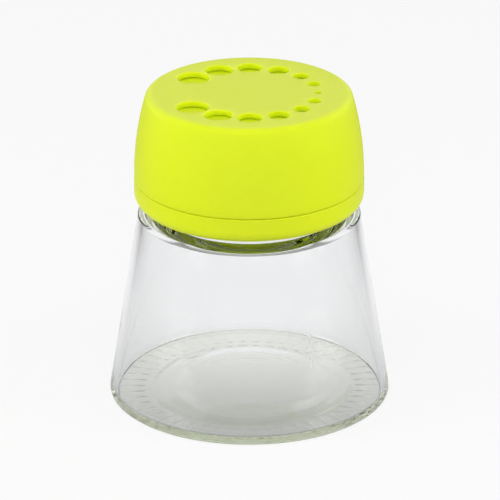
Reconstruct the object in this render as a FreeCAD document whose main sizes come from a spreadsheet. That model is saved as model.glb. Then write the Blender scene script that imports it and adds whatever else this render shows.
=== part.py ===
# Glass spice shaker with a dial lid, as a parametric document. Millimetres, +Z up.
# Origin: centre of the foot, on the surface that the jar stands on.

import FreeCAD, Part
import math
import os

import Sketcher

# Driving sizes: alias, value, what it measures.
SIZES = (
    # Jar, outside
    ("base_radius", "35.4", "body cone carried down to the foot"),
    ("shoulder_radius", "27.7", "body cone where the shoulder starts"),
    ("shoulder_height", "48.5", "height of that corner"),
    ("shoulder_width", "4.8", "from that corner in to the neck"),
    ("shoulder_rise", "1.9", "from that corner up to the neck"),
    ("heel_round", "1.1", "rounding between the body and the foot"),
    ("shoulder_round", "1.2", "rounding of the shoulder's corner"),
    ("neck_root_round", "0.8", "rounding where the neck rises"),
    ("rim_round", "0.6", "rounding of both edges of the rim"),
    # Jar, inside
    ("neck_wall", "1.8", "thickness of the glass in the neck"),
    ("glass_wall", "1.8", "thickness of the body wall, measured level"),
    ("shoulder_glass", "1.1", "from the shoulder's corner down to the level face under the shoulder"),
    ("floor_height", "1.6", "inside bottom over the bearing ring"),
    ("floor_round", "0.7", "rounding between the wall and the inside bottom"),
    ("floor_slope_start", "0.5", "from the pushed-up centre's edge out to the foot of the inside slope"),
    ("floor_slope_width", "6.0", "inside slope, measured level"),
    ("floor_slope_rise", "2.0", "how far the inside slope rises"),
    ("floor_slope_round", "6.0", "rounding at both ends of that slope"),
    ("floor_crown", "0.8", "from the slope up to the middle of the inside bottom"),
    ("inner_shoulder_round", "0.5", "rounding under the shoulder"),
    ("bore_round", "1.0", "rounding at the lower end of the mouth"),
    # Jar, foot
    ("foot_width", "11.1", "from the body's cone in to the pushed-up centre"),
    ("punt_rise", "2.4", "how far the centre is pushed up"),
    ("punt_round", "8.0", "rounding where the pushed-up centre starts"),
    ("rib_height", "0.25", "ribs of the bearing ring"),
    ("rib_width", "1.7", "width of one rib"),
    ("rib_inset", "2.0", "from the pushed-up centre's edge to the ribs"),
    ("rib_length", "6.0", "length of the ribs"),
    ("rib_count", "50", "ribs round the ring"),
    # Sealing ring
    ("liner_thickness", "1.2", "sealing ring, pressed"),
    ("liner_inset", "0.4", "from the mouth to the ring's inner edge"),
    # Lid base
    ("thread_gap", "1.3", "room for the thread between neck and lid"),
    ("collar_gap", "0.5", "from the neck's foot up to the lid's lower edge"),
    ("collar_height", "6.5", "visible collar, lower edge to seam"),
    ("collar_round", "3.45", "rounded lower edge of the collar"),
    ("lid_wall", "1.6", "wall of the lid base"),
    ("relief_width", "1.25", "groove between the collar and the guide"),
    ("relief_depth", "3.9", "depth of that groove"),
    ("snap_overlap", "0.5", "how far the snap ridge catches the bead"),
    ("ridge_height", "1.7", "straight part of the snap ridge"),
    ("lead_in", "0.9", "sloped part above the ridge and the bead"),
    ("land_rise", "1.8", "from that slope up to the foot of the tower"),
    ("tower_gap", "0.7", "from the tower to the inside of the dial's top corner"),
    ("plate_thickness", "1.5", "plate under the dial"),
    ("window_edge", "0.3", "from the window to the tower's wall"),
    # Dial
    ("seam_gap", "0.35", "seam between the collar and the dial"),
    ("dial_lean", "3.2", "how far the dial's side leans in, carried up to the top face"),
    ("dial_side_curve", "75.0", "radius of the dial's bulging side"),
    ("dial_height", "22.25", "dial, lower edge to top"),
    ("dial_wall", "1.7", "side wall of the dial"),
    ("dial_top_thickness", "1.5", "top of the dial"),
    ("dial_top_round", "1.8", "rounded edge of the top"),
    ("dial_edge_round", "0.3", "rounded lower edge"),
    ("bead_height", "2.35", "snap bead inside the lower edge"),
    ("face_gap", "0.15", "between the dial's top and the plate"),
    ("guide_gap", "0.3", "play between curved faces that turn"),
    ("spigot_radius", "2.5", "short pin under the dial's centre"),
    ("spigot_gap", "0.08", "running fit of that pin"),
    ("spigot_tip", "1.0", "how far the pin comes through the plate"),
    ("overrun", "1.0", "how far a cut runs past the face that it leaves"),
    # Window and holes
    ("hole_land", "0.3", "from the window's edge to the next larger hole"),
    ("window_share", "0.234", "window's radius in parts of the ring that it lies on"),
    ("hole_1_share", "0.2125", "smallest hole, in parts of the window"),
    ("hole_2_share", "0.4", "next pair"),
    ("hole_3_share", "0.5", "next pair"),
    ("hole_4_share", "0.6625", "next pair"),
    ("hole_5_share", "0.7625", "next pair"),
    ("hole_6_share", "0.875", "next pair"),
    ("hole_7_share", "1.0", "largest pair, as wide as the window"),
)
ALIASES = [alias for alias, value, note in SIZES]
HOLE_SHARES = [alias for alias in ALIASES if alias.startswith("hole_") and alias.endswith("_share")]

doc = FreeCAD.newDocument("SpiceShaker")
sheet = doc.addObject("Spreadsheet::Sheet", "Sizes")
for row, (alias, value, note) in enumerate(SIZES, start=1):
    sheet.set(f"A{row}", alias)
    sheet.set(f"B{row}", value)
    sheet.setAlias(f"B{row}", alias)
    sheet.set(f"C{row}", note)
doc.recompute()


class Size:
    """A length with its value and the spreadsheet formula that drives it."""

    def __init__(self, value, formula):
        self.value = value
        self.formula = formula

    def __add__(self, other):
        other = as_size(other)
        return Size(self.value + other.value, f"({self.formula} + {other.formula})")

    def __sub__(self, other):
        other = as_size(other)
        return Size(self.value - other.value, f"({self.formula} - {other.formula})")

    def __mul__(self, other):
        other = as_size(other)
        return Size(self.value * other.value, f"({self.formula} * {other.formula})")

    def __truediv__(self, other):
        other = as_size(other)
        return Size(self.value / other.value, f"({self.formula} / {other.formula})")


def as_size(number):
    """A plain number in the form that formulas need."""
    return number if isinstance(number, Size) else Size(float(number), str(number))


def size(alias):
    """One cell of the spreadsheet."""
    return Size(float(sheet.get(alias)), f"Sizes.{alias}")


ZERO = as_size(0)


# Radii that follow from the shoulder and from what fits in what
neck_radius = size("shoulder_radius") - size("shoulder_width")
bore_radius = neck_radius - size("neck_wall")
thread_radius = neck_radius + size("thread_gap")
guide_radius = thread_radius + size("lid_wall")
bead_radius = guide_radius + size("guide_gap")
ridge_radius = bead_radius + size("snap_overlap")
relief_radius = guide_radius + size("relief_width")
collar_radius = relief_radius + size("lid_wall")
dial_bore = ridge_radius + size("guide_gap")
dial_skirt_radius = dial_bore + size("dial_wall")
dial_top_radius = dial_skirt_radius - size("dial_lean")
dial_inner_top = dial_top_radius - size("dial_wall")
tower_radius = dial_inner_top - size("tower_gap")
chamber_radius = tower_radius - size("lid_wall")
ring_radius = (chamber_radius - size("window_edge")) / (size("window_share") + 1)
window_radius = ring_radius * size("window_share")
punt_radius = size("base_radius") - size("foot_width")
slope_foot_radius = punt_radius + size("floor_slope_start")
slope_top_radius = slope_foot_radius - size("floor_slope_width")

# Heights that follow from the shoulder and from the stack of pieces
neck_root_height = size("shoulder_height") + size("shoulder_rise")
collar_bottom = neck_root_height + size("collar_gap")
collar_top = collar_bottom + size("collar_height")
dial_bottom = collar_top + size("seam_gap")
bead_top = dial_bottom + size("bead_height")
ridge_bottom = bead_top + size("guide_gap")
ridge_top = ridge_bottom + size("ridge_height")
lead_top = ridge_top + size("lead_in")
land_top = lead_top + size("land_rise")
land_bottom = land_top - size("lid_wall")
rim_height = land_bottom - size("liner_thickness")
dial_top = dial_bottom + size("dial_height")
dial_under = dial_top - size("dial_top_thickness")
plate_top = dial_under - size("face_gap")
plate_bottom = plate_top - size("plate_thickness")


def new_body(label):
    body = doc.addObject("PartDesign::Body", label)
    body.Label = label
    return body


def plane(body, role):
    """One of the body's own origin planes."""
    for feature in body.Origin.OriginFeatures:
        if feature.Role == role:
            return feature
    raise ValueError(role)


def new_sketch(body, name, role, height=None):
    """Sketch on an origin plane, lifted to a height where one is given."""
    sketch = body.newObject("Sketcher::SketchObject", name)
    sketch.AttachmentSupport = [(plane(body, role), "")]
    sketch.MapMode = "FlatFace"
    if height is not None:
        sketch.setExpression("AttachmentOffset.Base.z", height.formula)
    return sketch


def bind(sketch, constraint, length):
    """Add a constraint and tie it to the spreadsheet."""
    index = sketch.addConstraint(constraint)
    sketch.setExpression(f"Constraints[{index}]", length.formula)


def place_point(sketch, geometry, position, radius, height):
    """Hold one end point at a radius from the axis and a height above the foot."""
    if radius is ZERO:
        sketch.addConstraint(Sketcher.Constraint("PointOnObject", geometry, position, -2))
    else:
        bind(sketch, Sketcher.Constraint("DistanceX", -1, 1, geometry, position, radius.value), radius)
    bind(sketch, Sketcher.Constraint("DistanceY", -1, 1, geometry, position, height.value), height)


def arc_between(first, last, radius):
    """Arc from first to last, anticlockwise, with the given radius."""
    chord = last - first
    middle = first + chord / 2
    reach = math.sqrt(radius ** 2 - (chord.Length / 2) ** 2)
    left = FreeCAD.Vector(-chord.y, chord.x, 0).normalize()
    centre = middle + left * reach
    start = math.atan2(first.y - centre.y, first.x - centre.x)
    end = math.atan2(last.y - centre.y, last.x - centre.x)
    circle = Part.Circle(centre, FreeCAD.Vector(0, 0, 1), radius)
    return Part.ArcOfCircle(circle, start, end)


def turned(body, name, outline, left_arcs=None, right_arcs=None):
    """Revolve a closed outline of (radius, height) points about the body's Z axis.

    The arcs give, for the number of a side, the radius of the arc that takes the line's place:
    left arcs turn left on the way round the outline, right arcs turn right.
    """
    left_arcs = left_arcs or {}
    right_arcs = right_arcs or {}
    sketch = new_sketch(body, f"{name}_outline", "XZ_Plane")
    points = [FreeCAD.Vector(radius.value, height.value, 0) for radius, height in outline]
    count = len(points)
    starts, ends = [1] * count, [2] * count
    for side in range(count):
        first, last = points[side], points[(side + 1) % count]
        if side in left_arcs:
            sketch.addGeometry(arc_between(first, last, left_arcs[side].value), False)
        elif side in right_arcs:
            sketch.addGeometry(arc_between(last, first, right_arcs[side].value), False)
            starts[side], ends[side] = 2, 1
        else:
            sketch.addGeometry(Part.LineSegment(first, last), False)
    for side in range(count):
        following = (side + 1) % count
        meeting = Sketcher.Constraint("Coincident", side, ends[side], following, starts[following])
        sketch.addConstraint(meeting)
    for side, (radius, height) in enumerate(outline):
        place_point(sketch, side, starts[side], radius, height)
    for side, radius in {**left_arcs, **right_arcs}.items():
        bind(sketch, Sketcher.Constraint("Radius", side, radius.value), radius)
    revolution = body.newObject("PartDesign::Revolution", name)
    revolution.Profile = sketch
    revolution.ReferenceAxis = (sketch, ["V_Axis"])
    revolution.Angle = 360
    doc.recompute()
    return revolution


def ring_edge(feature, radius, height):
    """Name of the circular edge at this radius and height."""
    nearest = None
    for number, edge in enumerate(feature.Shape.Edges, start=1):
        if edge.Degenerated or not isinstance(edge.Curve, Part.Circle):
            continue
        centre = edge.Curve.Center
        miss = abs(edge.Curve.Radius - radius.value) + abs(centre.z - height.value)
        if math.hypot(centre.x, centre.y) < radius.value / 2 and (nearest is None or miss < nearest[0]):
            nearest = (miss, f"Edge{number}")
    return nearest[1]


def rounded(body, name, base, corners, radius):
    """Fillet the circular edges at the given (radius, height) corners."""
    fillet = body.newObject("PartDesign::Fillet", name)
    fillet.Base = (base, [ring_edge(base, *corner) for corner in corners])
    fillet.setExpression("Radius", radius.formula)
    doc.recompute()
    return fillet


def add_circle(sketch, x, y, radius):
    """Circle with its radius tied to the spreadsheet."""
    centre = FreeCAD.Vector(x.value, y.value, 0)
    circle = sketch.addGeometry(Part.Circle(centre, FreeCAD.Vector(0, 0, 1), radius.value), False)
    bind(sketch, Sketcher.Constraint("Radius", circle, radius.value), radius)
    return circle


def cut_down(body, name, sketch, depth):
    """Pocket from the sketch's plane downwards, which must take material away."""
    before = body.Shape.Volume
    pocket = body.newObject("PartDesign::Pocket", name)
    pocket.Profile = sketch
    pocket.Type = "Length"
    pocket.setExpression("Length", depth.formula)
    doc.recompute()
    if body.Shape.Volume >= before:
        raise RuntimeError(f"{name} cuts nothing")
    return pocket


def cone_radius(height):
    """Outside of the jar's body at a height."""
    run = size("base_radius") - size("shoulder_radius")
    return size("base_radius") - run * height / size("shoulder_height")


def dome_radius(reach, rise):
    """Radius of a dome that rises this much over this reach from the axis."""
    return (reach * reach / rise + rise) / 2


# Jar: one blown shape, turned, with the ribs of its foot added
def make_glass_jar():
    body = new_body("glass_jar")
    foot = size("rib_height")
    floor = size("floor_height")
    slope_top_height = floor + size("floor_slope_rise")
    punt_top = foot + size("punt_rise")
    punt_edge = (punt_radius, foot)
    inner_shoulder = size("shoulder_height") - size("shoulder_glass")
    inner_foot = (cone_radius(floor) - size("glass_wall"), floor)
    under_shoulder = (cone_radius(inner_shoulder) - size("glass_wall"), inner_shoulder)
    heel = (cone_radius(foot), foot)
    corner = (size("shoulder_radius"), size("shoulder_height"))
    neck_root = (neck_radius, neck_root_height)
    mouth_end = (bore_radius, inner_shoulder)
    rim_outer = (neck_radius, rim_height)
    rim_inner = (bore_radius, rim_height)
    slope_foot = (slope_foot_radius, floor)
    slope_top = (slope_top_radius, slope_top_height)
    outline = (
        (ZERO, punt_top),
        punt_edge,
        heel,
        corner,
        neck_root,
        rim_outer,
        rim_inner,
        mouth_end,
        under_shoulder,
        inner_foot,
        slope_foot,
        slope_top,
        (ZERO, slope_top_height + size("floor_crown")),
    )
    punt_dome = dome_radius(punt_radius, size("punt_rise"))
    crown_dome = dome_radius(slope_top_radius, size("floor_crown"))
    crown_side = outline.index(slope_top)
    shape = turned(body, "jar_turned", outline, left_arcs={crown_side: crown_dome}, right_arcs={0: punt_dome})
    shape = rounded(body, "punt_edge", shape, [punt_edge], size("punt_round"))
    shape = rounded(body, "inside_slope", shape, [slope_foot, slope_top], size("floor_slope_round"))
    shape = rounded(body, "heel", shape, [heel], size("heel_round"))
    shape = rounded(body, "shoulder", shape, [corner], size("shoulder_round"))
    shape = rounded(body, "neck_foot", shape, [neck_root], size("neck_root_round"))
    shape = rounded(body, "rim", shape, [rim_outer, rim_inner], size("rim_round"))
    shape = rounded(body, "mouth_end", shape, [mouth_end], size("bore_round"))
    shape = rounded(body, "inner_shoulder", shape, [under_shoulder], size("inner_shoulder_round"))
    rounded(body, "inner_foot", shape, [inner_foot], size("floor_round"))
    add_foot_ribs(body)
    return body


def add_foot_ribs(body):
    """Short radial bars under the bearing ring, round at both ends and sunk in it by their height."""
    sketch = new_sketch(body, "rib_outline", "XY_Plane")
    half = size("rib_width") / 2
    start = punt_radius + size("rib_inset")
    inner = start + half
    outer = start + size("rib_length") - half
    up = FreeCAD.Vector(0, 0, 1)
    inner_end = Part.Circle(FreeCAD.Vector(inner.value, 0, 0), up, half.value)
    outer_end = Part.Circle(FreeCAD.Vector(outer.value, 0, 0), up, half.value)
    quarter = math.pi / 2
    sketch.addGeometry(Part.ArcOfCircle(inner_end, quarter, 3 * quarter), False)
    sketch.addGeometry(Part.ArcOfCircle(outer_end, -quarter, quarter), False)
    lower = (FreeCAD.Vector(inner.value, -half.value, 0), FreeCAD.Vector(outer.value, -half.value, 0))
    upper = (FreeCAD.Vector(outer.value, half.value, 0), FreeCAD.Vector(inner.value, half.value, 0))
    sketch.addGeometry(Part.LineSegment(*lower), False)
    sketch.addGeometry(Part.LineSegment(*upper), False)
    sketch.addConstraint(Sketcher.Constraint("Tangent", 0, 2, 2, 1))
    sketch.addConstraint(Sketcher.Constraint("Tangent", 2, 2, 1, 1))
    sketch.addConstraint(Sketcher.Constraint("Tangent", 1, 2, 3, 1))
    sketch.addConstraint(Sketcher.Constraint("Tangent", 3, 2, 0, 1))
    sketch.addConstraint(Sketcher.Constraint("PointOnObject", 0, 3, -1))
    sketch.addConstraint(Sketcher.Constraint("PointOnObject", 1, 3, -1))
    bind(sketch, Sketcher.Constraint("DistanceX", -1, 1, 0, 3, inner.value), inner)
    bind(sketch, Sketcher.Constraint("DistanceX", -1, 1, 1, 3, outer.value), outer)
    bind(sketch, Sketcher.Constraint("Radius", 0, half.value), half)
    rib = body.newObject("PartDesign::Pad", "rib")
    rib.Profile = sketch
    rib.Type = "Length"
    rib.setExpression("Length", (size("rib_height") * 2).formula)
    doc.recompute()
    pattern = body.newObject("PartDesign::PolarPattern", "rib_ring")
    pattern.Originals = [rib]
    pattern.Axis = (sketch, ["N_Axis"])
    pattern.Angle = 360
    pattern.setExpression("Occurrences", size("rib_count").formula)
    body.Tip = pattern
    doc.recompute()


# Sealing ring: lies on the rim and is pressed by the lid
def make_rim_liner():
    body = new_body("rim_liner")
    inner = bore_radius + size("liner_inset")
    outer = thread_radius - size("guide_gap")
    outline = (
        (inner, rim_height),
        (outer, rim_height),
        (outer, land_bottom),
        (inner, land_bottom),
    )
    turned(body, "liner_turned", outline)
    return body


# Lid base: collar, snap ridge, tower and window plate in one moulding
def make_lid_base():
    body = new_body("lid_base")
    collar_foot = (collar_radius, collar_bottom)
    relief_bottom = collar_top - size("relief_depth")
    outline = (
        (thread_radius, collar_bottom),
        collar_foot,
        (collar_radius, collar_top),
        (relief_radius, collar_top),
        (relief_radius, relief_bottom),
        (guide_radius, relief_bottom),
        (guide_radius, ridge_bottom),
        (ridge_radius, ridge_bottom),
        (ridge_radius, ridge_top),
        (guide_radius, lead_top),
        (guide_radius, land_top),
        (tower_radius, land_top),
        (tower_radius, plate_top),
        (ZERO, plate_top),
        (ZERO, plate_bottom),
        (chamber_radius, plate_bottom),
        (chamber_radius, land_bottom),
        (thread_radius, land_bottom),
    )
    shape = turned(body, "lid_base_turned", outline)
    rounded(body, "collar_edge", shape, [collar_foot], size("collar_round"))
    cut_depth = size("plate_thickness") + size("overrun")
    window = new_sketch(body, "window_outline", "XY_Plane", plate_top)
    opening = add_circle(window, ZERO - ring_radius, ZERO, window_radius)
    window.addConstraint(Sketcher.Constraint("PointOnObject", opening, 3, -1))
    bind(window, Sketcher.Constraint("DistanceX", opening, 3, -1, 1, ring_radius.value), ring_radius)
    cut_down(body, "window", window, cut_depth)
    bearing = new_sketch(body, "bearing_outline", "XY_Plane", plate_top)
    bore = add_circle(bearing, ZERO, ZERO, size("spigot_radius") + size("spigot_gap"))
    bearing.addConstraint(Sketcher.Constraint("Coincident", bore, 3, -1, 1))
    cut_down(body, "spigot_bearing", bearing, cut_depth)
    return body


# Dial: a shell with a snap bead, a centring spigot and the graded holes
def make_dial_cap():
    body = new_body("dial_cap")
    side = size("dial_side_curve")
    inner_side = side - size("dial_wall")
    top_edge = (dial_top_radius, dial_top)
    lower_edge = (dial_skirt_radius, dial_bottom)
    spigot_bottom = plate_bottom - size("spigot_tip")
    outline = (
        (ridge_radius, dial_bottom),
        lower_edge,
        top_edge,
        (ZERO, dial_top),
        (ZERO, spigot_bottom),
        (size("spigot_radius"), spigot_bottom),
        (size("spigot_radius"), dial_under),
        (dial_inner_top, dial_under),
        (dial_bore, lead_top),
        (dial_bore, bead_top),
        (bead_radius, bead_top),
        (bead_radius, dial_bottom + size("lead_in")),
    )
    shape = turned(body, "dial_turned", outline, left_arcs={1: side}, right_arcs={7: inner_side})
    shape = rounded(body, "top_edge", shape, [top_edge], size("dial_top_round"))
    rounded(body, "lower_edge", shape, [lower_edge], size("dial_edge_round"))
    cut_down(body, "dispensing_holes", hole_sketch(body), size("dial_top_thickness") + size("face_gap") / 2)
    return body


def hole_sketch(body):
    """Ring of holes: one smallest, then pairs that grow to both sides.

    Each hole keeps clear of the window while its smaller neighbour lies over it.
    """
    sketch = new_sketch(body, "hole_outline", "XY_Plane", dial_top)
    circle = Part.Circle(FreeCAD.Vector(0, 0, 0), FreeCAD.Vector(0, 0, 1), ring_radius.value)
    pitch_circle = sketch.addGeometry(circle, True)
    sketch.addConstraint(Sketcher.Constraint("Coincident", pitch_circle, 3, -1, 1))
    bind(sketch, Sketcher.Constraint("Radius", pitch_circle, ring_radius.value), ring_radius)
    first = add_circle(sketch, ring_radius, ZERO, window_radius * size(HOLE_SHARES[0]))
    sketch.addConstraint(Sketcher.Constraint("PointOnObject", first, 3, -1))
    sketch.addConstraint(Sketcher.Constraint("PointOnObject", first, 3, pitch_circle))
    for turn in (1, -1):
        neighbour = first
        angle = 0
        for share in HOLE_SHARES[1:]:
            radius = window_radius * size(share)
            step = window_radius + size("hole_land") + radius
            angle += turn * 2 * math.asin(step.value / (2 * ring_radius.value))
            x = as_size(ring_radius.value * math.cos(angle))
            y = as_size(ring_radius.value * math.sin(angle))
            hole = add_circle(sketch, x, y, radius)
            sketch.addConstraint(Sketcher.Constraint("PointOnObject", hole, 3, pitch_circle))
            bind(sketch, Sketcher.Constraint("Distance", neighbour, 3, hole, 3, step.value), step)
            neighbour = hole
    return sketch


def check(bodies):
    """Stop unless every object computed and every body is one sound solid."""
    for item in doc.Objects:
        if "Invalid" in item.State or "Error" in item.State:
            raise RuntimeError(f"{item.Name}: {item.State}")
    for body in bodies:
        shape = body.Shape
        if shape.isNull() or not shape.isValid() or len(shape.Solids) != 1:
            raise RuntimeError(f"{body.Label} is not one valid solid")


bodies = (make_glass_jar(), make_rim_liner(), make_lid_base(), make_dial_cap())
doc.recompute()
check(bodies)
os.makedirs("parts", exist_ok=True)
for body in bodies:
    body.Shape.exportStep(f"parts/{body.Label}.step")
    box = body.Shape.BoundBox
    print(body.Label, "volume", round(body.Shape.Volume), "z", round(box.ZMin, 3), round(box.ZMax, 3))
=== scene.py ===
# %% [markdown]
# # A glass spice shaker with a lime dial lid
# The real object has four pieces: a blown glass jar, a soft sealing ring, a lid base that screws on the
# neck and a dial that turns on it. The frame brings their sizes and places, so every piece here is made
# where the frame says.

# %% Load the frame
import math

import bpy
import bmesh
import numpy as np
from mathutils import Matrix, Vector


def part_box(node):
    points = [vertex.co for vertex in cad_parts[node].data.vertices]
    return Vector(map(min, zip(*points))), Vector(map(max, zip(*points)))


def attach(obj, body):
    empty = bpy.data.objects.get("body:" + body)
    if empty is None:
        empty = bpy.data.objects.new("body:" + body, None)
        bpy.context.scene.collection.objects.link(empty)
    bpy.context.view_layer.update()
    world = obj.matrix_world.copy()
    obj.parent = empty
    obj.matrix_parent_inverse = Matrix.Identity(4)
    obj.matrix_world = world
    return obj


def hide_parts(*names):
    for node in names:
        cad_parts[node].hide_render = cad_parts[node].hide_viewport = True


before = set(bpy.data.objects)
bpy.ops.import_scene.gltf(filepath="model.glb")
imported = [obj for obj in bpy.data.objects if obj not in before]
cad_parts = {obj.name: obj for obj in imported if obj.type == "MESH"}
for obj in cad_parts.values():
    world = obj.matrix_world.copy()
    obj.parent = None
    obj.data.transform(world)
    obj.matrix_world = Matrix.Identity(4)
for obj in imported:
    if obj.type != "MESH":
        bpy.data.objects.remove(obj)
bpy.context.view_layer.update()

MM = 0.001
jar_low, jar_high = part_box("glass_jar")
liner_low, liner_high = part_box("rim_liner")
lid_low, lid_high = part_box("lid_base")
dial_low, dial_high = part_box("dial_cap")
print("height of the shaker", round(dial_high.z / MM, 2), "mm, width", round(2 * jar_high.x / MM, 2), "mm")

# %% [markdown]
# ## Outlines with rounded corners
# Blown glass and moulded plastic have no sharp corner anywhere, and it is the rounding that catches the
# light. An outline could be drawn point by point, but then every rounding would be a list of numbers.
# Here an outline is a few corners, each with the radius of its rounding, and the points of the arcs are
# worked out.

# %% Helper: extra points on long runs
def divided(points, step):
    """The same line with extra points. step gives the longest run near a place."""
    fine = [points[0]]
    for point in points[1:]:
        run = (point - fine[-1]).length
        parts = max(1, math.ceil(run / step((point + fine[-1]) / 2)))
        start = fine[-1].copy()
        fine.extend(start.lerp(point, part / parts) for part in range(1, parts + 1))
    return fine


# %% Helper: from corners to a smooth outline
ARC_STEP = math.radians(6)


def rounded_outline(corners, step):
    """Points along (radius, height, rounding) corners. step(place) gives the longest straight run there."""
    points = []
    for number, (radius, height, rounding) in enumerate(corners):
        corner = Vector((radius, height))
        if rounding == 0 or number in (0, len(corners) - 1):
            points.append(corner)
            continue
        back = (Vector(corners[number - 1][:2]) - corner).normalized()
        ahead = (Vector(corners[number + 1][:2]) - corner).normalized()
        half = math.acos(max(-1, min(1, back.dot(ahead)))) / 2
        reach = rounding / math.tan(half)
        centre = corner + (back + ahead).normalized() * (rounding / math.sin(half))
        first = corner + back * reach - centre
        turn = math.pi - 2 * half
        if first.x * back.y - first.y * back.x > 0:
            turn = -turn
        steps = max(2, math.ceil(abs(turn) / ARC_STEP))
        for part in range(steps + 1):
            points.append(centre + Matrix.Rotation(turn * part / steps, 2) @ first)
    return divided(points, step)


# %% Helper: a wall that bulges a little
def bulge(first, last, radius, parts):
    """Corners along a shallow arc from first to last, bulging away from the axis."""
    start, end = Vector(first), Vector(last)
    chord = end - start
    away = Vector((chord.y, -chord.x)).normalized()
    if away.x < 0:
        away = -away
    sunk = math.sqrt(radius ** 2 - (chord.length / 2) ** 2)
    centre = (start + end) / 2 - away * sunk
    corners = []
    for part in range(1, parts):
        spoke = start.lerp(end, part / parts) - centre
        corners.append((*(centre + spoke.normalized() * radius), 0))
    return corners


# %% [markdown]
# ## Turning an outline into a solid
# A lathe shape could come from the Screw modifier. Making the mesh directly keeps hold of each point's
# angle, radius and height, so a screw thread or a ring of ribs is only a formula that moves the points.

# %% Helper: the lathe
def lathe(name, outline, around, shift=None, closed=False):
    """Turn an outline about Z; an open one starts and ends on the axis. shift moves radius and height."""
    outline = np.array([tuple(point) for point in outline])
    inner = outline if closed else outline[1:-1]
    angle = np.linspace(0, 2 * math.pi, around, endpoint=False)[:, None]
    radius = np.repeat(inner[None, :, 0], around, axis=0)
    height = np.repeat(inner[None, :, 1], around, axis=0)
    if shift:
        radius, height = shift(angle, radius, height)
    ring = np.stack([radius * np.cos(angle), radius * np.sin(angle), height], axis=2)
    rows = inner.shape[0]
    points = ring.reshape(-1, 3)
    index = np.arange(around * rows).reshape(around, rows)
    following = np.roll(index, -1, axis=0)
    last = rows if closed else rows - 1
    faces = []
    for row in range(last):
        above = (row + 1) % rows
        strip = [index[:, row], following[:, row], following[:, above], index[:, above]]
        faces.append(np.stack(strip, axis=1))
    quads = np.concatenate(faces).tolist()
    if not closed:
        poles = [(0, 0, outline[0][1]), (0, 0, outline[-1][1])]
        points = np.concatenate([points, poles])
        first_pole, last_pole = around * rows, around * rows + 1
        quads += [(first_pole, following[turn, 0], index[turn, 0]) for turn in range(around)]
        quads += [(last_pole, index[turn, -1], following[turn, -1]) for turn in range(around)]
    mesh = bpy.data.meshes.new(name)
    mesh.from_pydata(points.tolist(), [], quads)
    return finished(name, mesh)


# %% Helper: a mesh becomes a piece
SMOOTH_BELOW = math.radians(35)


def finished(name, mesh):
    """Put a mesh in the scene with outward faces, smooth but for its real edges."""
    shape = bmesh.new()
    shape.from_mesh(mesh)
    bmesh.ops.recalc_face_normals(shape, faces=shape.faces)
    shape.to_mesh(mesh)
    shape.free()
    mesh.polygons.foreach_set("use_smooth", [True] * len(mesh.polygons))
    mesh.set_sharp_from_angle(angle=SMOOTH_BELOW)
    piece = bpy.data.objects.new(name, mesh)
    bpy.context.scene.collection.objects.link(piece)
    print(name, len(mesh.polygons), "faces")
    return piece


# %% Sizes of the screw thread
THREAD_PITCH = 4 * MM
THREAD_TURNS = 1.4
THREAD_FADE = 0.07
THREAD_RISE = 1.0 * MM
NECK_THREAD_START = jar_high.z - 8 * MM
LID_THREAD_START = NECK_THREAD_START - THREAD_PITCH / 2
print("thread: one start,", THREAD_TURNS, "turns,", THREAD_PITCH / MM, "mm pitch")


# %% Helper: the bead of a thread
def thread_height(angle, height, start, turns, half_width):
    """0 to 1: how much of the thread's full height stands at this angle and height."""
    turn_share = angle / (2 * math.pi)
    total = np.zeros(np.broadcast(angle, height).shape)
    for whole in range(math.ceil(turns) + 1):
        along = turn_share + whole
        off = (height - (start + THREAD_PITCH * along)) / half_width
        bead = np.where(np.abs(off) < 1, np.cos(off * math.pi / 2) ** 2, 0)
        ends = np.clip(along / THREAD_FADE, 0, 1) * np.clip((turns - along) / THREAD_FADE, 0, 1)
        total = np.maximum(total, bead * ends)
    return total


# %% [markdown]
# ## The glass jar
# The jar is one closed skin: foot, outside wall, rim, inside wall and inside floor, so that light bends
# at each real surface. Glass shows every facet, so it is turned in many steps. The ribs under the foot,
# the thread on the neck and the mould's seam are waves in the same skin, because the real ones are
# pressed into the same glass. Its inside was never touched by a mould but shaped by air, so the slope
# in the floor lies a little off the middle and wavers.

# %% Sizes of the jar
RIM = jar_high.z
SHOULDER_RADIUS, SHOULDER_HEIGHT = 27.7 * MM, 48.5 * MM
BASE_RADIUS = 35.4 * MM
NECK_RADIUS, NECK_ROOT = 22.9 * MM, 50.4 * MM
BORE_RADIUS = 21.1 * MM
GLASS_WALL = 1.8 * MM
UNDER_SHOULDER = 47.4 * MM
INSIDE_FLOOR = 1.6 * MM
SLOPE_FOOT, SLOPE_TOP, SLOPE_RISE = 24.8 * MM, 18.8 * MM, 2.0 * MM
CROWN_RISE = 0.8 * MM
PUNT_RADIUS, PUNT_RISE = 24.3 * MM, 2.4 * MM
RIB_COUNT = 50
RIB_RISE = 0.08 * MM
RIB_START, RIB_END = 26.3 * MM, 32.3 * MM
RIB_FADE = 1.0 * MM
GLASS_AROUND = 800
print("jar: glass", round(GLASS_WALL / MM, 2), "mm thick,", RIB_COUNT, "ribs under the foot")

# %% Roundings of the glass
PUNT_ROUND, HEEL_ROUND = 8.0 * MM, 1.1 * MM
SHOULDER_ROUND, NECK_ROOT_ROUND = 1.2 * MM, 0.8 * MM
RIM_ROUND, BORE_ROUND = 0.6 * MM, 1.0 * MM
INNER_SHOULDER_ROUND, FLOOR_ROUND = 0.5 * MM, 0.7 * MM
SLOPE_ROUND = 6.0 * MM
print("jar: heel rounded by", round(HEEL_ROUND / MM, 2), "mm")


# %% Helpers: the jar's wall and its domed bottom
DOME_PARTS = 12


def cone(height):
    """Outside radius of the body at a height."""
    return BASE_RADIUS - (BASE_RADIUS - SHOULDER_RADIUS) * height / SHOULDER_HEIGHT


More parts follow.
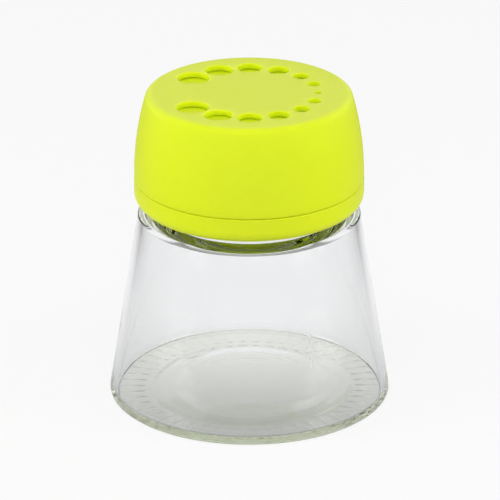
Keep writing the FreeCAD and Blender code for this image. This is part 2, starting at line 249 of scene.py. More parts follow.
def dome(edge_radius, edge_height, rise):
    """Corners from the axis outwards along a shallow dome with its edge at this radius and height."""
    curve = (edge_radius ** 2 / rise + rise) / 2
    top = edge_height + rise
    corners = [(0, top, 0)]
    for part in range(1, DOME_PARTS):
        reach = edge_radius * part / DOME_PARTS
        corners.append((reach, top - curve + math.sqrt(curve ** 2 - reach ** 2), 0))
    return corners


# %% Helper: how fine the jar's outline is
BOTTOM_ZONE = 5 * MM
SHORT_STEP, LONG_STEP = 0.35 * MM, 3 * MM


def jar_step(place):
    """Short steps at the bottom and on the neck, where there are waves, and long ones on plain walls."""
    on_neck = place.y > NECK_ROOT and place.x > (NECK_RADIUS + BORE_RADIUS) / 2
    return SHORT_STEP if place.y < BOTTOM_ZONE or on_neck else LONG_STEP


# %% Helper: the jar's outline
def jar_outline():
    corners = [
        *dome(PUNT_RADIUS, RIB_RISE, PUNT_RISE),
        (PUNT_RADIUS, RIB_RISE, PUNT_ROUND),
        (cone(RIB_RISE), RIB_RISE, HEEL_ROUND),
        (SHOULDER_RADIUS, SHOULDER_HEIGHT, SHOULDER_ROUND),
        (NECK_RADIUS, NECK_ROOT, NECK_ROOT_ROUND),
        (NECK_RADIUS, RIM, RIM_ROUND),
        (BORE_RADIUS, RIM, RIM_ROUND),
        (BORE_RADIUS, UNDER_SHOULDER, BORE_ROUND),
        (cone(UNDER_SHOULDER) - GLASS_WALL, UNDER_SHOULDER, INNER_SHOULDER_ROUND),
        (cone(INSIDE_FLOOR) - GLASS_WALL, INSIDE_FLOOR, FLOOR_ROUND),
        (SLOPE_FOOT, INSIDE_FLOOR, SLOPE_ROUND),
        (SLOPE_TOP, INSIDE_FLOOR + SLOPE_RISE, SLOPE_ROUND),
        *reversed(dome(SLOPE_TOP, INSIDE_FLOOR + SLOPE_RISE, CROWN_RISE)),
    ]
    return rounded_outline(corners, jar_step)


# %% Sizes of the waves in the glass
SEAM_ANGLE = math.radians(-61.5)
SEAM_RISE, SEAM_WIDTH = 0.04 * MM, 0.2 * MM
OFF_MIDDLE, OFF_ANGLE = 1.5 * MM, math.radians(-60)
FLOOR_WAVES = ((3, 0.35 * MM, 0.6), (5, 0.2 * MM, 2.0), (9, 0.12 * MM, 0.0))
CALM_CENTRE, WAVY_FROM = 6 * MM, 16 * MM
WAVY_TO, CALM_EDGE = 27 * MM, 31 * MM
NECK_BEAD = 0.95 * MM
FOOT_LEVEL = RIB_RISE * 1.001
WALL_FOOT = 2 * MM
CLOSE = 0.1 * MM
print("inside floor:", round(OFF_MIDDLE / MM, 2), "mm off the middle")


# %% Helpers: each wave by itself
def smooth_step(value, low, high):
    share = np.clip((value - low) / (high - low), 0, 1)
    return share * share * (3 - 2 * share)


def foot_ribs(angle, radius):
    """0 to 1: how much of a rib's height stands at this place under the foot."""
    rib = smooth_step(radius, RIB_START - RIB_FADE, RIB_START + RIB_FADE)
    rib = rib * smooth_step(-radius, -RIB_END - RIB_FADE, -RIB_END)
    return rib * (0.5 + 0.5 * np.cos(RIB_COUNT * angle))


def mould_seam(angle, radius):
    """How far the mould's seam stands out, on two opposite lines."""
    across = np.arcsin(np.sin(angle - SEAM_ANGLE)) * radius
    return SEAM_RISE * np.exp(-(across / SEAM_WIDTH) ** 2)


def floor_waver(angle, radius):
    """How far the slope in the inside floor lies from a true circle."""
    waver = OFF_MIDDLE * np.cos(angle - OFF_ANGLE)
    for count, rise, turned in FLOOR_WAVES:
        waver = waver + rise * np.cos(count * angle + turned)
    share = smooth_step(radius, CALM_CENTRE, WAVY_FROM) * smooth_step(-radius, -CALM_EDGE, -WAVY_TO)
    return waver * share


# %% Helper: all waves together
def jar_waves(angle, radius, height):
    """Ribs under the foot, thread on the neck, mould seam, and the unevenness of the inside floor."""
    outside = np.arange(height.shape[1]) <= np.argmax(height[0])
    on_foot = outside & (height < FOOT_LEVEL)
    new_height = np.where(on_foot, height - RIB_RISE * foot_ribs(angle, radius), height)
    on_neck = outside & (radius > NECK_RADIUS - CLOSE) & (height > NECK_ROOT + NECK_ROOT_ROUND)
    bead = thread_height(angle, height, NECK_THREAD_START, THREAD_TURNS, NECK_BEAD)
    new_radius = np.where(on_neck, radius + THREAD_RISE * bead, radius)
    on_wall = outside & (height > WALL_FOOT) & (height < SHOULDER_HEIGHT) & (radius > SHOULDER_RADIUS - CLOSE)
    new_radius = np.where(on_wall, new_radius + mould_seam(angle, radius), new_radius)
    on_floor = ~outside & (height < BOTTOM_ZONE)
    return np.where(on_floor, new_radius + floor_waver(angle, radius), new_radius), new_height


# %% Make the jar
glass_jar = lathe("glass_jar_skin", jar_outline(), GLASS_AROUND, jar_waves)
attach(glass_jar, "jar")
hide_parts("glass_jar")

# %% [markdown]
# ## The sealing ring
# A flat ring of foamed plastic lies in the lid and is pressed on the rim. It has soft edges and shows
# only when the lid is off.

# %% Make the sealing ring
LINER_INNER = BORE_RADIUS + 0.4 * MM
LINER_ROUND = 0.25 * MM
LINER_STEP = 0.5 * MM
LINER_AROUND = 200


def liner_outline():
    middle = (LINER_INNER + liner_high.x) / 2
    corners = [
        (middle, liner_low.z, 0),
        (liner_high.x, liner_low.z, LINER_ROUND),
        (liner_high.x, liner_high.z, LINER_ROUND),
        (LINER_INNER, liner_high.z, LINER_ROUND),
        (LINER_INNER, liner_low.z, LINER_ROUND),
        (middle, liner_low.z, 0),
    ]
    return rounded_outline(corners, lambda place: LINER_STEP)[:-1]


rim_liner = lathe("sealing_ring", liner_outline(), LINER_AROUND, closed=True)
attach(rim_liner, "liner")
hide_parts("rim_liner")

# %% [markdown]
# ## Cutting round openings
# The window in the lid's plate and the holes in the dial are cut with turned cutters. Each cutter
# flares where it meets a face, so it leaves the small rounding that a moulded edge has. A sharp edge
# would show no highlight.

# %% Helper: flared cutters
EDGE_ROUND = 0.22 * MM
EDGE_PARTS = 6
CUTTER_AROUND = 64


def flare(radius, lean):
    """How wide the cutter is, and how far from the face, at this lean of the rounded edge."""
    return radius + EDGE_ROUND * (1 - math.sin(lean)), EDGE_ROUND * (1 - math.cos(lean))


def hole_cutter(name, centre, radius, low, high):
    """Cutter for one round hole between two faces, with both edges rounded."""
    out = 2 * EDGE_ROUND
    corners = [(0, low - out), (radius + EDGE_ROUND, low - out), (radius + EDGE_ROUND, low)]
    for part in range(1, EDGE_PARTS + 1):
        wide, deep = flare(radius, math.pi / 2 * part / EDGE_PARTS)
        corners.append((wide, low + deep))
    for part in range(EDGE_PARTS + 1):
        wide, deep = flare(radius, math.pi / 2 * (1 - part / EDGE_PARTS))
        corners.append((wide, high - deep))
    corners += [(radius + EDGE_ROUND, high + out), (0, high + out)]
    cutter = lathe(name, [Vector(corner) for corner in corners], CUTTER_AROUND)
    cutter.data.transform(Matrix.Translation((*centre, 0)))
    return cutter


# %% Helper: cutting
def cut(piece, cutters):
    """Take the cutters out of the piece and throw them away."""
    together = bmesh.new()
    for cutter in cutters:
        together.from_mesh(cutter.data)
    tool_mesh = bpy.data.meshes.new("cutters")
    together.to_mesh(tool_mesh)
    together.free()
    tool = bpy.data.objects.new("cutters", tool_mesh)
    bpy.context.scene.collection.objects.link(tool)
    modifier = piece.modifiers.new("cut", "BOOLEAN")
    modifier.operation = "DIFFERENCE"
    modifier.solver = "EXACT"
    modifier.object = tool
    graph = bpy.context.evaluated_depsgraph_get()
    mesh = bpy.data.meshes.new_from_object(piece.evaluated_get(graph))
    piece.modifiers.clear()
    piece.data = mesh
    for cutter in [*cutters, tool]:
        bpy.data.objects.remove(cutter)
    mesh.polygons.foreach_set("use_smooth", [True] * len(mesh.polygons))
    mesh.set_sharp_from_angle(angle=SMOOTH_BELOW)
    weighted = piece.modifiers.new("even_shading", "WEIGHTED_NORMAL")
    weighted.keep_sharp = True
    weighted.weight = 100
    print(piece.name, "after cutting", len(mesh.polygons), "faces")


# %% [markdown]
# ## The lid base
# This moulding is one revolved wall: the visible collar with its rolled lower edge, the ridge that
# holds the dial, the narrower tower and the plate. Only the collar and, through the holes, the plate
# show when the lid is closed.

# %% Sizes of the lid
LID_WALL = 1.6 * MM
THREAD_WALL = NECK_RADIUS + 1.3 * MM
GUIDE = THREAD_WALL + LID_WALL
RIDGE = GUIDE + 0.8 * MM
CHAMBER = 21.4 * MM
TOWER = CHAMBER + LID_WALL
SEAM_GAP = 0.15 * MM
COLLAR_TOP = dial_low.z - SEAM_GAP
LAND = liner_high.z
RIDGE_BOTTOM = dial_low.z + 2.65 * MM
RIDGE_TOP = RIDGE_BOTTOM + 1.7 * MM
LEAD_TOP = RIDGE_TOP + 0.9 * MM
RELIEF_BOTTOM = lid_low.z + 2.6 * MM
PLATE_THICKNESS = 1.5 * MM
RING_RADIUS = 17.1 * MM
WINDOW_RADIUS = 4.0 * MM
BEARING_RADIUS = 2.58 * MM
SOFT_EDGE, COLLAR_ROUND, CEILING_ROUND = 0.25 * MM, 3.45 * MM, 0.4 * MM
LID_BEAD = 0.75 * MM
LID_STEP = 0.4 * MM
AROUND = 360
print("seam under the dial", round(SEAM_GAP / MM, 2), "mm")


# %% Helper: the lid base's outline and thread
def lid_outline():
    collar = lid_high.x
    relief = collar - LID_WALL
    land_top = LAND + LID_WALL
    plate_under = lid_high.z - PLATE_THICKNESS
    corners = [
        (0, plate_under, 0),
        (CHAMBER, plate_under, CEILING_ROUND),
        (CHAMBER, LAND, SOFT_EDGE),
        (THREAD_WALL, LAND, SOFT_EDGE),
        (THREAD_WALL, lid_low.z, SOFT_EDGE),
        (collar, lid_low.z, COLLAR_ROUND),
        (collar, COLLAR_TOP, SOFT_EDGE),
        (relief, COLLAR_TOP, SOFT_EDGE),
        (relief, RELIEF_BOTTOM, SOFT_EDGE),
        (GUIDE, RELIEF_BOTTOM, SOFT_EDGE),
        (GUIDE, RIDGE_BOTTOM, SOFT_EDGE / 2),
        (RIDGE, RIDGE_BOTTOM, SOFT_EDGE / 2),
        (RIDGE, RIDGE_TOP, SOFT_EDGE),
        (GUIDE, LEAD_TOP, SOFT_EDGE),
        (GUIDE, land_top, SOFT_EDGE),
        (TOWER, land_top, SOFT_EDGE),
        (TOWER, lid_high.z, SOFT_EDGE),
        (0, lid_high.z, 0),
    ]
    return rounded_outline(corners, lambda place: LID_STEP)


def lid_thread(angle, radius, height):
    """The thread inside the skirt, which runs under the thread on the neck."""
    on_wall = (np.abs(radius - THREAD_WALL) < CLOSE / 2) & (height < LAND - 2 * SOFT_EDGE)
    bead = thread_height(angle, height, LID_THREAD_START, THREAD_TURNS, LID_BEAD)
    return np.where(on_wall, radius - THREAD_RISE * bead, radius), height


# %% Make the lid base
lid_base = lathe("lid_moulding", lid_outline(), AROUND, lid_thread)
plate_low, plate_high = lid_high.z - PLATE_THICKNESS, lid_high.z
window = hole_cutter("window", (-RING_RADIUS, 0), WINDOW_RADIUS, plate_low, plate_high)
bearing = hole_cutter("bearing", (0, 0), BEARING_RADIUS, plate_low, plate_high)
cut(lid_base, [window, bearing])
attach(lid_base, "lid")
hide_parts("lid_base")

# %% [markdown]
# ## The dial
# The dial's side bulges a little and leans in towards the top, and its holes grow from one side to the
# other. Their spacing follows a rule: while one hole lies over the window, the window's edge stays just
# short of the next.

# %% Sizes of the dial
SIDE_CURVE = 75 * MM
TOP_RADIUS = 25.4 * MM
DIAL_WALL = 1.7 * MM
TOP_THICKNESS = 1.5 * MM
BEAD = GUIDE + 0.3 * MM
BEAD_HEIGHT, BEAD_FOOT = 2.35 * MM, 0.9 * MM
LEAD_IN = 0.5 * MM
SPIGOT, SPIGOT_PAST = 2.5 * MM, 1.0 * MM
SKIRT_ROUND, TOP_ROUND, INNER_ROUND = 0.3 * MM, 1.8 * MM, 0.8 * MM
OUTSIDE_PARTS, INSIDE_PARTS = 10, 7
DIAL_STEP = 0.5 * MM
HOLE_LAND = 0.3 * MM
HOLE_DIAMETERS = [size * MM for size in (1.7, 3.2, 4.0, 5.3, 6.1, 7.0, 8.0)]
print("holes:", [round(size / MM, 1) for size in HOLE_DIAMETERS], "mm")


# %% Helper: the dial's outline
def dial_outline():
    skirt = dial_high.x
    bore = skirt - DIAL_WALL
    top, under = dial_high.z, dial_high.z - TOP_THICKNESS
    foot = (skirt, dial_low.z)
    shoulder = (TOP_RADIUS, top)
    inner_shoulder = (TOP_RADIUS - DIAL_WALL, under)
    spigot_tip = plate_low - SPIGOT_PAST
    corners = [
        (0, spigot_tip, 0),
        (SPIGOT, spigot_tip, SOFT_EDGE),
        (SPIGOT, under, SOFT_EDGE),
        (*inner_shoulder, INNER_ROUND),
        *bulge(inner_shoulder, (bore, LEAD_TOP), SIDE_CURVE - DIAL_WALL, INSIDE_PARTS),
        (bore, LEAD_TOP, 0),
        (bore, dial_low.z + BEAD_HEIGHT, SOFT_EDGE / 2),
        (BEAD, dial_low.z + BEAD_HEIGHT, SOFT_EDGE / 2),
        (BEAD, dial_low.z + BEAD_FOOT, SOFT_EDGE),
        (BEAD + LEAD_IN, dial_low.z, SOFT_EDGE),
        (*foot, SKIRT_ROUND),
        *bulge(foot, shoulder, SIDE_CURVE, OUTSIDE_PARTS),
        (*shoulder, TOP_ROUND),
        (0, top, 0),
    ]
    return rounded_outline(corners, lambda place: DIAL_STEP)


# %% Helper: where the holes are
def hole_places():
    """(angle, diameter) of every hole: the smallest towards +X, then growing pairs to both sides."""
    places = [(0, HOLE_DIAMETERS[0])]
    angle = 0
    for diameter in HOLE_DIAMETERS[1:]:
        apart = WINDOW_RADIUS + HOLE_LAND + diameter / 2
        angle += 2 * math.asin(apart / (2 * RING_RADIUS))
        places += [(angle, diameter), (-angle, diameter)]
    return places


# %% Make the dial
dial_cap = lathe("dial_moulding", dial_outline(), AROUND)
top_low, top_high = dial_high.z - TOP_THICKNESS, dial_high.z
cutters = []
for angle, diameter in hole_places():
    centre = (RING_RADIUS * math.cos(angle), RING_RADIUS * math.sin(angle))
    cutters.append(hole_cutter("hole", centre, diameter / 2, top_low, top_high))
cut(dial_cap, cutters)
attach(dial_cap, "dial")
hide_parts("dial_cap")
print(len(cutters), "holes in the dial")

# %% [markdown]
# ## A shared effect: the grain of a moulded or handled surface
# Nothing that was moulded or handled is perfectly even. One node group makes a fine grain for the bump
# and a slow, cloudy mask for the roughness, and each material places it with its own scale.

# %% Node group: surface grain
def grain_group():
    group = bpy.data.node_groups.new("surface_grain", "ShaderNodeTree")
    inputs = {"Grain Scale": 1500.0, "Cloud Scale": 60.0, "Base Roughness": 0.4, "Spread": 0.05}
    for name, value in inputs.items():
        socket = group.interface.new_socket(name, in_out="INPUT", socket_type="NodeSocketFloat")
        socket.default_value = value
    for name in ("Height", "Roughness", "Cloud"):
        group.interface.new_socket(name, in_out="OUTPUT", socket_type="NodeSocketFloat")
    nodes, links = group.nodes, group.links
    inside = nodes.new("NodeGroupInput")
    outside = nodes.new("NodeGroupOutput")
    place = nodes.new("ShaderNodeTexCoord")
    grain = nodes.new("ShaderNodeTexNoise")
    grain.inputs["Detail"].default_value = 3
    cloud = nodes.new("ShaderNodeTexNoise")
    cloud.inputs["Detail"].default_value = 4
    spread = nodes.new("ShaderNodeMath")
    spread.operation = "MULTIPLY_ADD"
    centred = nodes.new("ShaderNodeMath")
    centred.operation = "SUBTRACT"
    centred.inputs[1].default_value = 0.5
    links.new(place.outputs["Object"], grain.inputs["Vector"])
    links.new(place.outputs["Object"], cloud.inputs["Vector"])
    links.new(inside.outputs["Grain Scale"], grain.inputs["Scale"])
    links.new(inside.outputs["Cloud Scale"], cloud.inputs["Scale"])
    links.new(cloud.outputs["Fac"], centred.inputs[0])
    links.new(centred.outputs[0], spread.inputs[0])
    links.new(inside.outputs["Spread"], spread.inputs[1])
    links.new(inside.outputs["Base Roughness"], spread.inputs[2])
    links.new(grain.outputs["Fac"], outside.inputs["Height"])
    links.new(spread.outputs[0], outside.inputs["Roughness"])
    links.new(cloud.outputs["Fac"], outside.inputs["Cloud"])
    return group


GRAIN = grain_group()
print("node group", GRAIN.name, "with", len(GRAIN.nodes), "nodes")


# %% Helpers for every material
def new_material(name):
    material = bpy.data.materials.new(name)
    material.use_nodes = True
    return material, material.node_tree.nodes, material.node_tree.links


def place_grain(nodes, **values):
    node = nodes.new("ShaderNodeGroup")
    node.node_tree = GRAIN
    for name, value in values.items():
        node.inputs[name.replace("_", " ")].default_value = value
    return node


def add_bump(nodes, links, height, shader, distance, strength):
    bump = nodes.new("ShaderNodeBump")
    bump.inputs["Distance"].default_value = distance
    bump.inputs["Strength"].default_value = strength
    links.new(height, bump.inputs["Height"])
    links.new(bump.outputs["Normal"], shader.inputs["Normal"])


# %% [markdown]
# ## Lime plastic
# The lid is dyed polypropylene: satin and milky. Its walls are thin enough to let light through, so it
# glows in the seam and round the holes. A plain diffuse colour would be dark there and look like paint,
# so nearly all of the colour comes from light that scatters inside the wall.

# %% Material: lime plastic
LIME = (0.75, 0.87, 0.012, 1)
LIME_DEEP = (0.70, 0.84, 0.006, 1)
PLASTIC_IOR = 1.49
SOAK_SHARE = 0.9
SOAK_DEPTH, SOAK_COLOURS = 2.5 * MM, (1.0, 1.0, 0.15)
MOULD_GRAIN = 0.02 * MM


def lime_plastic():
    material, nodes, links = new_material("lime_plastic")
    shader = nodes["Principled BSDF"]
    grain = place_grain(nodes, Grain_Scale=2200.0, Cloud_Scale=90.0, Base_Roughness=0.42, Spread=0.08)
    tone = nodes.new("ShaderNodeMix")
    tone.data_type = "RGBA"
    tone.inputs["A"].default_value = LIME
    tone.inputs["B"].default_value = LIME_DEEP
    links.new(grain.outputs["Cloud"], tone.inputs["Factor"])
    links.new(tone.outputs["Result"], shader.inputs["Base Color"])
    links.new(grain.outputs["Roughness"], shader.inputs["Roughness"])
    shader.inputs["IOR"].default_value = PLASTIC_IOR
    shader.inputs["Subsurface Weight"].default_value = SOAK_SHARE
    shader.inputs["Subsurface Radius"].default_value = SOAK_COLOURS
    shader.inputs["Subsurface Scale"].default_value = SOAK_DEPTH
    add_bump(nodes, links, grain.outputs["Height"], shader, MOULD_GRAIN, strength=0.5)
    return material


# %% [markdown]
# ## Clear glass
# Clear jar glass is a little green where light goes a long way through it, along the bottom and in the
# heel. So the colour sits in the volume and not on the surface: light that crosses a wall stays clear,
# and the foot darkens by itself.

# %% Material: clear glass
GLASS_DENSITY = 27.0
GLASS_GREEN = (0.74, 0.775, 0.63, 1)
GLASS_IOR = 1.52
GLASS_WAVES = 0.05 * MM


def clear_glass():
    material, nodes, links = new_material("clear_glass")
    shader = nodes["Principled BSDF"]
    shader.inputs["Base Color"].default_value = (1, 1, 1, 1)
    shader.inputs["Transmission Weight"].default_value = 1.0
    shader.inputs["Roughness"].default_value = 0.0
    shader.inputs["IOR"].default_value = GLASS_IOR
    grain = place_grain(nodes, Grain_Scale=120.0, Cloud_Scale=30.0)
    add_bump(nodes, links, grain.outputs["Height"], shader, GLASS_WAVES, strength=0.3)
    absorb = nodes.new("ShaderNodeVolumeAbsorption")
    absorb.inputs["Color"].default_value = GLASS_GREEN
    absorb.inputs["Density"].default_value = GLASS_DENSITY
    links.new(absorb.outputs["Volume"], nodes["Material Output"].inputs["Volume"])
    return material


# %% [markdown]
# ## Foam of the sealing ring
# The ring is punched from a sheet of foamed plastic. It is dull and off-white, and its fine cells are a
# bump.

# %% Material: foamed sealing ring
FOAM = (0.8, 0.8, 0.77, 1)
FOAM_CELLS = 0.05 * MM


def liner_foam():
    material, nodes, links = new_material("liner_foam")
    shader = nodes["Principled BSDF"]
    grain = place_grain(nodes, Grain_Scale=3000.0, Cloud_Scale=200.0, Base_Roughness=0.7, Spread=0.1)
    shader.inputs["Base Color"].default_value = FOAM
    links.new(grain.outputs["Roughness"], shader.inputs["Roughness"])
    add_bump(nodes, links, grain.outputs["Height"], shader, FOAM_CELLS, strength=0.8)
    return material


# %% [markdown]
# ## Dressing the pieces
# Each piece is made of one material. The lid base and the dial share the lime plastic, because they have
# the same colour.

# %% Give the pieces their materials
def dress(piece, material):
    piece.data.materials.clear()
    piece.data.materials.append(material)
    print(piece.name, "is made of", material.name)


lime = lime_plastic()
dress(lid_base, lime)
dress(dial_cap, lime)
dress(glass_jar, clear_glass())
dress(rim_liner, liner_foam())

# %% [markdown]
# ## Studio: what the camera sees and what the glass sees
# The photograph is a pack shot on plain white. Clear glass shows nothing but what stands round it, so
# its greys have to come from the set: the table ends a little way in front of the shaker, the room on
# the camera's side is dim, and a pool of light is painted on the table behind the jar and lights its
# foot. The table has painted shade beyond the pool and under the jar, and under the jar it is painted
# a little green as light that came through the glass. Brighter lamps could make the background white
# too, but they would bleach the lid. Light Path sorts the rays instead: the camera's own find a table
# that is nearly plain white, with the shadow faint on it, and those by way of gloss or glass find the
# table and the room of the set.

# %% Helpers: sums and fades in a material
def joined(nodes, links, operation, first, second):
    """One Math node with both inputs linked or set."""
    node = nodes.new("ShaderNodeMath")
    node.operation = operation
    for socket, value in zip(node.inputs, (first, second)):
        if isinstance(value, bpy.types.NodeSocket):
            links.new(value, socket)
        else:
            socket.default_value = value
    return node.outputs[0]


def faded(nodes, links, value, reach, results):
    """Passes smoothly from the first result to the second while value crosses reach."""
    share = nodes.new("ShaderNodeMapRange")
    share.interpolation_type = "SMOOTHSTEP"
    share.inputs["From Min"].default_value, share.inputs["From Max"].default_value = reach
    share.inputs["To Min"].default_value, share.inputs["To Max"].default_value = results
    links.new(value, share.inputs["Value"])
    return share.outputs["Result"]


# %% Helpers: sorting the rays
def seen_rays(nodes, links, camera_share, glass_share):
    """camera_share for rays from the camera, glass_share for those by way of gloss or glass, else 0."""
    path = nodes.new("ShaderNodeLightPath")
    glossy, through = path.outputs["Is Glossy Ray"], path.outputs["Is Transmission Ray"]
    glass = joined(nodes, links, "MULTIPLY", joined(nodes, links, "MAXIMUM", glossy, through), glass_share)
    direct = joined(nodes, links, "MULTIPLY", path.outputs["Is Camera Ray"], camera_share)
    return joined(nodes, links, "MAXIMUM", direct, glass)


def seen_whole(nodes, links):
    """1 for rays from the camera, and for light that has reached plastic through glass, else 0."""
    path = nodes.new("ShaderNodeLightPath")
    soaked = joined(nodes, links, "MINIMUM", path.outputs["Diffuse Depth"], 1.0)
    return joined(nodes, links, "MAXIMUM", path.outputs["Is Camera Ray"], soaked)


def seen_colour(nodes, links, tint_in_glass):
    """White for all that the camera sees itself, and a tint for what shows through glass."""
    seen = nodes.new("ShaderNodeMix")
    seen.data_type = "RGBA"
    links.new(tint_in_glass, seen.inputs["A"])
    seen.inputs["B"].default_value = (1, 1, 1, 1)
    path = nodes.new("ShaderNodeLightPath")
    links.new(path.outputs["Is Camera Ray"], seen.inputs["Factor"])
    return seen.outputs["Result"]


# %% Helpers: the table as glass sees it, with a painted pool of light and painted green under the jar
# Painted pool of light: the table's emission is full behind the jar and fades to painted shade beyond it and
# under the jar.
PAINTED_POOL_PLACE = (0, 0.09, 0)
PAINTED_POOL_REACH, PAINTED_POOL_END = 0.04, 0.15
PAINTED_SHADE_SHARE = 0.28
ROOM_TINT = (0.965, 0.965, 1.0, 1)
# Painted light: the table's white is painted a little green under the jar, as if lit through the glass.
PAINTED_GLASS_LIGHT_TINT = (0.9, 0.935, 0.87, 1)
PAINTED_TINT_FADE = (jar_high.x - 4 * MM, jar_high.x + 2 * MM)


def painted_pool_brightness(nodes, links):
    """1 in a painted pool of light behind the shaker, less beyond it and under the jar as painted shade, but
    1 for all the rays of seen_whole.
    """
    place = nodes.new("ShaderNodeTexCoord")
    away = nodes.new("ShaderNodeVectorMath")
    away.operation = "DISTANCE"
    away.inputs[1].default_value = PAINTED_POOL_PLACE
    links.new(place.outputs["Object"], away.inputs[0])
    share = faded(nodes, links, away.outputs["Value"], (PAINTED_POOL_REACH, PAINTED_POOL_END), (1.0, PAINTED_SHADE_SHARE))
    return joined(nodes, links, "MAXIMUM", share, seen_whole(nodes, links))


def table_tint_and_painted_light(nodes, links):
    """The room's white, but painted a little green under the jar: painted light that has come through its
    glass.
    """
    place = nodes.new("ShaderNodeTexCoord")
    away = nodes.new("ShaderNodeVectorMath")
    away.operation = "LENGTH"
    links.new(place.outputs["Object"], away.inputs[0])
    tint = nodes.new("ShaderNodeMix")
    tint.data_type = "RGBA"
    tint.inputs["A"].default_value = PAINTED_GLASS_LIGHT_TINT
    tint.inputs["B"].default_value = ROOM_TINT
    links.new(faded(nodes, links, away.outputs["Value"], PAINTED_TINT_FADE, (0.0, 1.0)), tint.inputs["Factor"])
    return tint.outputs["Result"]


# %% Helper: the table's material
CAMERA_SHARE, GLASS_SHARE = 0.85, 0.9
TABLE_COLOUR = (0.8, 0.8, 0.8, 1)


def white_table():
    """A matte table that takes the shadow, mixed with brightness for the rays that are seen: a painted pool
    of light, painted shade beyond it and painted green under the jar.
    """
    material, nodes, links = new_material("white_floor")
    nodes.clear()
    output = nodes.new("ShaderNodeOutputMaterial")
    matte = nodes.new("ShaderNodeBsdfDiffuse")
    matte.inputs["Color"].default_value = TABLE_COLOUR
    bright = nodes.new("ShaderNodeEmission")
    links.new(seen_colour(nodes, links, table_tint_and_painted_light(nodes, links)), bright.inputs["Color"])
    links.new(painted_pool_brightness(nodes, links), bright.inputs["Strength"])
    mix = nodes.new("ShaderNodeMixShader")
    links.new(seen_rays(nodes, links, CAMERA_SHARE, GLASS_SHARE), mix.inputs["Fac"])
    links.new(matte.outputs[0], mix.inputs[1])
    links.new(bright.outputs[0], mix.inputs[2])
    links.new(mix.outputs[0], output.inputs["Surface"])
    return material


# %% Make the floor
FLOOR_REACH, FLOOR_FRONT = 3.0, 0.25
FLOOR_DROP = 0.02 * MM


def white_floor():
    mesh = bpy.data.meshes.new("floor")
    front = [(-FLOOR_REACH, -FLOOR_FRONT, 0), (FLOOR_REACH, -FLOOR_FRONT, 0)]
    corners = [*front, (FLOOR_REACH, FLOOR_REACH, 0), (-FLOOR_REACH, FLOOR_REACH, 0)]
    mesh.from_pydata(corners, [], [(0, 1, 2, 3)])
    mesh.materials.append(white_table())
    floor = bpy.data.objects.new("floor", mesh)
    bpy.context.scene.collection.objects.link(floor)
    floor.location.z = -FLOOR_DROP
    return floor


print("floor", [round(side, 2) for side in white_floor().dimensions[:2]], "m")

# %% [markdown]
# ## The room
# The world stands for the walls. Behind the shaker they are white, and towards the camera's side they
# get dimmer. That is what the glass shows, while a weaker and even white lights the object, so that the
# lamps can shape it.

# %% Helper: where the room is dim
DIM_SIDE = 0.5
DIM_FROM, WHITE_FROM = -0.2, 0.4


def wall_brightness(nodes, links):
    """1 for the wall behind the shaker and for all the rays of seen_whole, less on the dim side."""
    place = nodes.new("ShaderNodeTexCoord")
    way = nodes.new("ShaderNodeSeparateXYZ")
    links.new(place.outputs["Generated"], way.inputs["Vector"])
    share = faded(nodes, links, way.outputs["Y"], (DIM_FROM, WHITE_FROM), (DIM_SIDE, 1.0))
    return joined(nodes, links, "MAXIMUM", share, seen_whole(nodes, links))


# %% Make the world
ROOM_LIGHT = 0.45


def studio_world():
    world = bpy.data.worlds.new("studio")
    bpy.context.scene.world = world
    world.use_nodes = True
    nodes, links = world.node_tree.nodes, world.node_tree.links
    room = nodes["Background"]
    room.inputs["Color"].default_value = (1, 1, 1, 1)
    room.inputs["Strength"].default_value = ROOM_LIGHT
    tint = nodes.new("ShaderNodeRGB")
    tint.outputs[0].default_value = ROOM_TINT
    white = nodes.new("ShaderNodeBackground")
    links.new(seen_colour(nodes, links, tint.outputs[0]), white.inputs["Color"])
    links.new(wall_brightness(nodes, links), white.inputs["Strength"])
    mix = nodes.new("ShaderNodeMixShader")
    links.new(seen_rays(nodes, links, 1.0, 1.0), mix.inputs["Fac"])
    links.new(room.outputs[0], mix.inputs[1])
    links.new(white.outputs[0], mix.inputs[2])
    links.new(mix.outputs[0], nodes["World Output"].inputs["Surface"])
    return world


print("world", studio_world().name, "lights the object with strength", ROOM_LIGHT)

# %% [markdown]
# ## Lamps
# Three soft boxes light the shaker, one high in front and one at each side. Their power is kept at a
# plain level, at which a colour renders about as it is written. Mirrored in the clear glass they would
# show as hard white panes, which the photograph doesn't have, so glossy rays don't see them.

# %% Make the lamps
AIM = (0, 0, 0.04)
KEY_SIZE, KEY_POWER = (0.6, 0.6), 2.1
SIDE_SIZE, LEFT_POWER, RIGHT_POWER = (0.4, 0.7), 3.0, 2.7


def softbox(name, place, size, power):
    light = bpy.data.lights.new(name, "AREA")
    light.shape = "RECTANGLE"
    light.size, light.size_y = size
    light.energy = power
    lamp = bpy.data.objects.new(name, light)
    lamp.location = place
    lamp.rotation_euler = (Vector(AIM) - Vector(place)).to_track_quat("-Z", "Y").to_euler()
    lamp.visible_glossy = False
    bpy.context.scene.collection.objects.link(lamp)
    print(name, "shines with", power, "W")


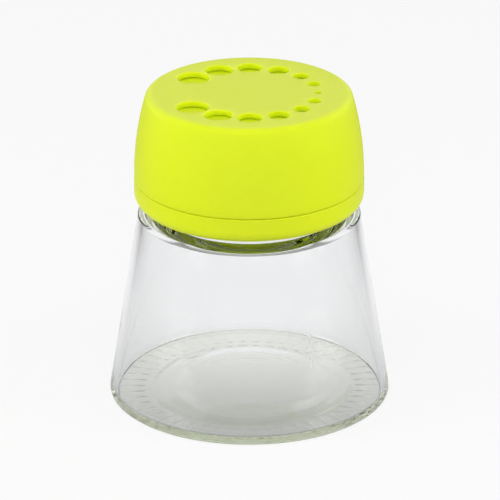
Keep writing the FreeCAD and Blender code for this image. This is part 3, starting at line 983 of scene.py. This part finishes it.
softbox("key_light", (0, -0.53, 0.57), KEY_SIZE, KEY_POWER)
softbox("left_light", (-0.73, -0.2, 0.3), SIDE_SIZE, LEFT_POWER)
softbox("right_light", (0.73, -0.2, 0.3), SIDE_SIZE, RIGHT_POWER)

# %% [markdown]
# ## Camera
# The view is that of a long lens from a little above. It was fitted to the outlines in the photograph,
# where the ellipses of the lid and the foot show how high the camera stands.

# %% Make the camera
CAMERA_DISTANCE = 1.2
CAMERA_RISE, CAMERA_ROLL = math.radians(22.93), math.radians(0.1)
CAMERA_AIM = Vector((0.185 * MM, 0, 37.72 * MM))
CAMERA_LENS, CAMERA_SENSOR = 345.2, 36
NEAREST = 0.05
camera_data = bpy.data.cameras.new("camera")
camera_data.lens = CAMERA_LENS
camera_data.sensor_width = CAMERA_SENSOR
camera_data.clip_start = NEAREST
camera = bpy.data.objects.new("camera", camera_data)
back = Vector((0, -math.cos(CAMERA_RISE), math.sin(CAMERA_RISE)))
camera.location = CAMERA_AIM + back * CAMERA_DISTANCE
turn = (-back).to_track_quat("-Z", "Y").to_matrix()
camera.rotation_euler = (turn @ Matrix.Rotation(-CAMERA_ROLL, 3, "Z")).to_euler()
bpy.context.scene.collection.objects.link(camera)
bpy.context.scene.camera = camera
bpy.context.scene.view_settings.view_transform = "Standard"
print("camera", round(math.degrees(CAMERA_RISE), 1), "degrees above the table,", CAMERA_DISTANCE, "m away")

# %% [markdown]
# ## How far light is followed through the glass
# Light runs along inside the jar's bottom, as in a light guide, and is thrown back many times before it
# comes out. With the usual few bounces such paths end black and the foot turns into a dark ring, so
# they are followed further.

# %% Light paths
GLASS_BOUNCES = 32
PLASTIC_BOUNCES = 10
SPARE_BOUNCES = 8
bpy.context.scene.cycles.max_bounces = GLASS_BOUNCES + SPARE_BOUNCES
bpy.context.scene.cycles.diffuse_bounces = PLASTIC_BOUNCES
bpy.context.scene.cycles.glossy_bounces = GLASS_BOUNCES
bpy.context.scene.cycles.transmission_bounces = GLASS_BOUNCES
print("bounces in glass:", GLASS_BOUNCES)
